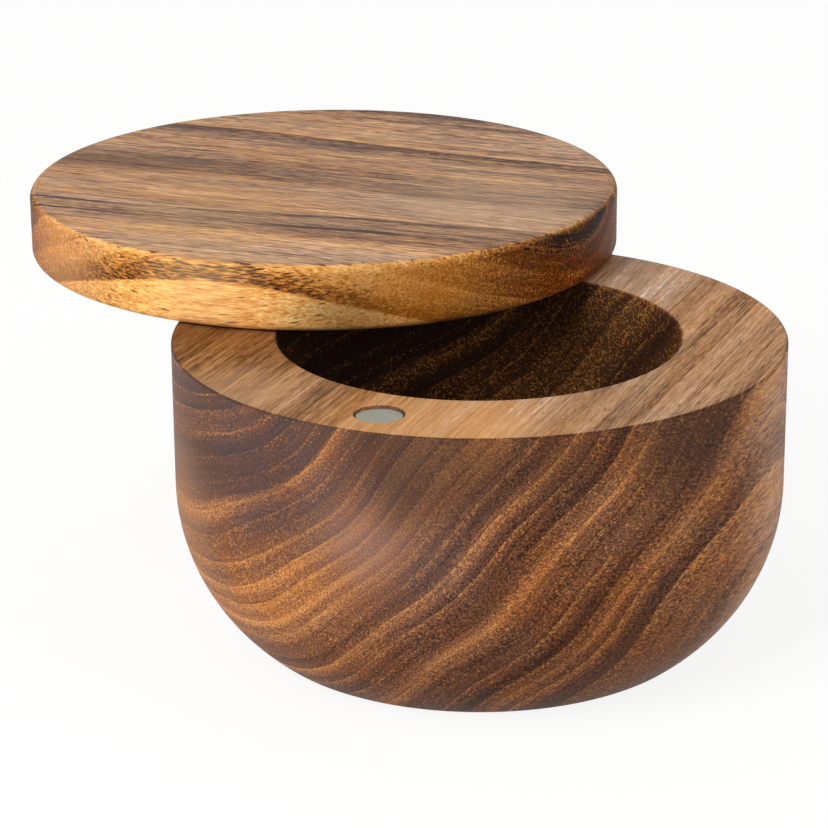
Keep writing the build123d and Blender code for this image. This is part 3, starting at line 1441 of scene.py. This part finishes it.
BOWL_STAINS_AND_LIGHT = (
    # Painted reflection: a grey-violet sheen of a soft box on the front of the wall
    StainAndLightPatch((4.0, -52.0, 38.0), 2.0, 24.0, "#574c50", 0.5),
    # Darker patches along the top of the wall at the front
    StainAndLightPatch((10.0, -51.0, 50.0), 6.0, 17.0, "#3a2822", 0.66),
    StainAndLightPatch((27.0, -44.0, 52.0), 4.0, 16.0, "#3a2822", 0.45),
    StainAndLightPatch((45.0, -26.0, 52.0), 4.0, 18.0, "#3a2822", 0.6),
    # Painted shade on the lower right, away from the key light
    StainAndLightPatch((36.0, -28.0, 12.0), 4.0, 22.0, "#3c241a", 0.3),
    StainAndLightPatch((-40.0, -31.0, 28.0), 2.0, 20.0, "#c88c5c", 0.3),
    # Painted highlight: a pale sheen down the right side
    StainAndLightPatch((52.0, 0.0, 30.0), 3.0, 18.0, "#c4a48c", 0.1),
    # Painted shade on the back wall of the cavity
    StainAndLightPatch((14.0, 20.0, 44.0), 8.0, 24.0, "#1c0e06", 0.42),
    StainAndLightPatch((-17.0, -49.0, 37.0), 2.0, 13.0, "#4c3a3a", 0.42),
    # Painted highlight: the key light's pinkish reflection on the front of the wall
    StainAndLightPatch((0.0, -52.0, 34.0), 1.0, 9.0, "#a88070", 0.25),
    StainAndLightPatch((10.0, -46.0, 53.3), 6.0, 26.0, "#e09c54", 0.45, Face.TOP),
    StainAndLightPatch((-26.0, -42.0, 53.3), 4.0, 18.0, "#dcac80", 0.35, Face.TOP),
    # Painted shadow of the open lid on the rim beside it
    StainAndLightPatch((-44.0, -16.0, 53.3), 4.0, 20.0, "#744214", 0.5, Face.TOP),
)
LID_TRUNK = Trunk(
    pith_x=14.3, pith_z=30.4, oval=0.764, tilt=0.0, drift=7.5, waver=0.6,
    swells=(Swell(-1.0, 48.0, (1.0, 0.0, 0.0), 12.3), Swell(0.71, 120.6, (0.0, 1.0, 0.0), 4.5)),
)
LID_RINGS = (
    Ring(12.0, 0.55, 0.55, 0.50, rise=0.5, share=0.5),
    Ring(20.2, 0.26, 0.32, 0.38, rise=0.8, share=0.5),
    Ring(27.0, 0.55, 0.52, 0.46, rise=0.4, share=0.5),
    Ring(31.6, 0.66, 0.46, -0.06, rise=0.35, share=0.35),
    Ring(36.8, 0.88, 0.58, 0.62, rise=0.5, share=0.2),
    Ring(47.8, 0.38, 0.34, 0.25, rise=1.0),
    Ring(53.0, 0.10, 0.20, 0.20, rise=1.0),
    Ring(60.0, 0.40, 0.40, 0.40),
)
LID_STAINS_AND_LIGHT = (
    StainAndLightPatch((-6.0, -38.0, 11.8), 2.0, 9.0, "#5e4434", 0.5, Face.TOP, along=3.5),
    StainAndLightPatch((-24.0, -4.0, 11.8), 0.5, 4.0, "#503e34", 0.5, Face.TOP, along=5.0),
    StainAndLightPatch((-32.0, -34.0, 11.8), 0.5, 4.5, "#503e34", 0.5, Face.TOP, along=4.0),
    StainAndLightPatch((6.0, 22.0, 11.8), 0.5, 3.5, "#5e4434", 0.45, Face.TOP, along=4.0),
    StainAndLightPatch((6.0, 34.0, 11.8), 6.0, 26.0, "#dcb890", 0.22, Face.TOP),
    StainAndLightPatch((27.0, -14.0, 11.8), 8.0, 30.0, "#c8a06a", 0.18, Face.TOP, along=0.7),
    StainAndLightPatch((38.0, -38.0, 4.0), 2.0, 20.0, "#f4b074", 0.32),
    # Painted highlight: the soft box's glare on the lid's edge
    StainAndLightPatch((53.0, -8.0, 5.0), 3.0, 15.0, "#f4d0a0", 0.2),
    StainAndLightPatch((47.5, 27.0, 4.0), 3.0, 22.0, "#b86c10", 0.45),
    StainAndLightPatch((51.4, 17.0, 3.0), 1.0, 7.0, "#3a1c0a", 0.4, along=1.8),
)
# Heartwood: dark, warm and even, with its end grain to the front
BOWL_FINISH = AcaciaFinish(
    "acacia_heartwood_oiled", BOWL_TRUNK, BOWL_RINGS,
    end_grain=Tones("#261710", "#462c1f", "#7e5034", "#c4844c", "#eeae66"),
    # Side grain: the wood's own colour, lifted paler for a painted sheen at the silhouettes
    side_grain=Tones("#302018", "#6e4a36", "#b0805c", "#e0b48a", "#f4d0a8"),
    face_grain=Tones("#4a2e18", "#845a36", "#a98059", "#c9a27f", "#ecc9a4"),
    vessels=Vessels(0.38, 6.0, Mark("#d8924a", 0.58, 0.02, 0.75, 0.1),
                    Mark("#1c100a", 0.3, 0.05, 0.25, 0.2), on_face=0.75),
    # The painted sheen below is a grey reflection on the wall's upper left, laid in as colour
    sapwood=Sapwood(22.0, 46.0, 0.15), stains_and_light=BOWL_STAINS_AND_LIGHT, painted_sheen=PaintedSheen("#5c5050", 84.0, 106.0),
    # Wear darkens the arrises, and painted shade darkens the whole cavity
    grain=2.3, streaks=0.25, crisp=0.34, glitter=0.3, wear_and_shade_darkness=0.76, false_ring=4.0,
)
# Sapwood at the front: golden, with ink lines along its top and oil-dark end grain under them
LID_FINISH = AcaciaFinish(
    "acacia_sapwood_oiled", LID_TRUNK, LID_RINGS,
    end_grain=Tones("#140a06", "#2e160a", "#5e2e0c", "#984c0c", "#d28434"),
    side_grain=Tones("#3a2012", "#7e4824", "#ca883c", "#f0ba70", "#fcd88e"),
    face_grain=Tones("#43332b", "#745444", "#a67f5f", "#cb9f74", "#ebc092"),
    vessels=Vessels(0.5, 5.0, Mark("#f0ac54", 0.5, 0.05, 0.45, 0.03),
                    Mark("#2a1a18", 0.68, 0.035, 1.0, 0.12), on_face=0.7),
    sapwood=Sapwood(8.0, 20.0, 0.25), stains_and_light=LID_STAINS_AND_LIGHT,
    lines=(InkLine(20.2, 0.45, 0.9), InkLine(22.2, 0.3, 0.6), InkLine(23.1, 0.45, 0.9)),
    grain=3.2, streaks=1.2, crisp=0.15, glitter=0.35, wear_and_shade_darkness=0.15, end_from=0.2, end_at=0.95,
    soaked_inside=23.4,
)
# Nickel plate over a sintered magnet, rubbed by the lid: a dull warm grey, softly scratched
MAGNET_FINISH = MetalFinish("nickel_plate_rubbed", "#84887a", "#b0b2a4", 0.34, 0.5)
# Steel rod, ground to size: a brighter, cooler grey
PIN_FINISH = MetalFinish("steel_dowel_ground", "#8f9092", "#b8b9bb", 0.3, 0.35)


def main() -> None:
    """Build the keeper's pieces in order, then the studio round them."""
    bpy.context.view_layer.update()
    keeper = Keeper()
    back = keeper.open_lid().inverted().translation
    lid_board = (back.x, back.y, -keeper.lid_underside)
    Bowl(keeper, BOWL_FINISH).build()
    Lid(keeper, replace(LID_FINISH, turn=-keeper.swing, shift=lid_board)).build()
    nickel, steel = MAGNET_FINISH.material(), PIN_FINISH.material()
    dress("rim_magnet", nickel)
    dress("lid_magnet", nickel)
    dress("pivot_pin", steel)
    Studio().build()
    Camera().build()


if __name__ == "__main__":
    main()
